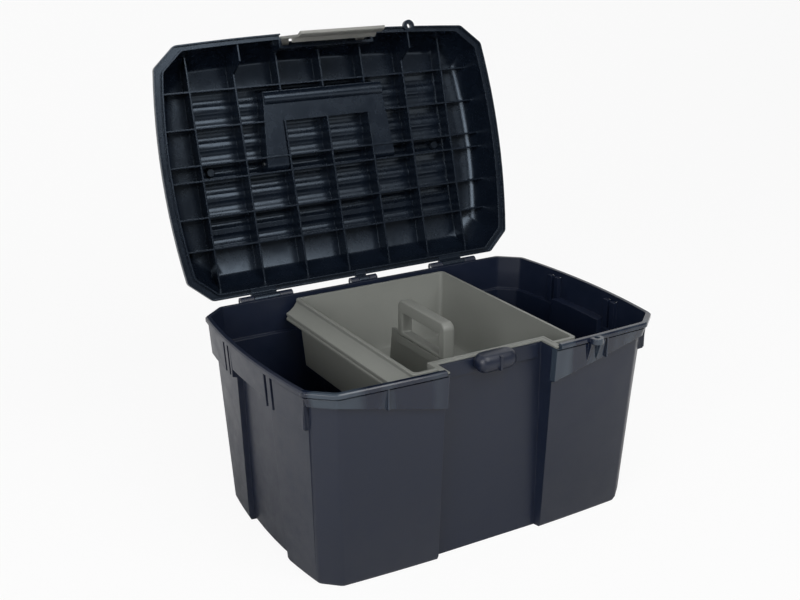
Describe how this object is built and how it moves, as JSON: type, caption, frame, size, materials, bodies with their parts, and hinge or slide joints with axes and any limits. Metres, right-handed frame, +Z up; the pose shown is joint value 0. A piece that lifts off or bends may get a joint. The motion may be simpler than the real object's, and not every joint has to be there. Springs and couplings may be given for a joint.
{
  "type": "grooming box",
  "caption": "Horse grooming box: deep moulded tub with a ribbed hinged lid standing open, a front latch, a folding carry handle and a lift-out tray with a hoop handle.",
  "frame": {"origin": "middle of the tub's underside, on the surface that the box stands on", "axes": "+Z up, +X to the right along the box's length as seen from the front, -Y towards the front with the latch, +Y towards the hinges"},
  "size_m": [0.403, 0.3863, 0.458],
  "materials": {
    "navy_plastic": "satin",
    "grey_plastic": "satin",
    "pale_plastic": "satin",
    "pin_steel": "brushed"
  },
  "bodies": {
    "tub_body": {"tub": "navy_plastic", "hinge_pin_left": "pin_steel", "hinge_pin_centre": "pin_steel", "hinge_pin_right": "pin_steel"},
    "lid_body": {"lid": "navy_plastic", "latch_pin_left": "pin_steel", "latch_pin_right": "pin_steel", "handle_pin_left": "pin_steel", "handle_pin_right": "pin_steel"},
    "tray_body": {"tray": "grey_plastic", "tray_hoop": "grey_plastic"},
    "latch_body": {"latch": "pale_plastic"},
    "handle_body": {"carry_handle": "pale_plastic"}
  },
  "joints": [
    {"name": "lid_hinge", "type": "hinge", "parent": "tub_body", "child": "lid_body", "pos_m": [0, 0.134, 0.1955], "axis": [1, 0, 0], "range_deg": [0, 106]},
    {"name": "latch_hinge", "type": "hinge", "parent": "lid_body", "child": "latch_body", "pos_m": [0, 0.2185, 0.44123], "axis": [-1, 0, 0], "range_deg": [0, 100]},
    {"name": "handle_hinge", "type": "hinge", "parent": "lid_body", "child": "handle_body", "pos_m": [0, 0.20973, 0.31631], "axis": [-1, 0, 0], "range_deg": [0, 90]},
    {"name": "tray_lift", "type": "slide", "parent": "tub_body", "child": "tray_body", "axis": [0, 0, 1], "range_m": [0, 0.2]}
  ]
}
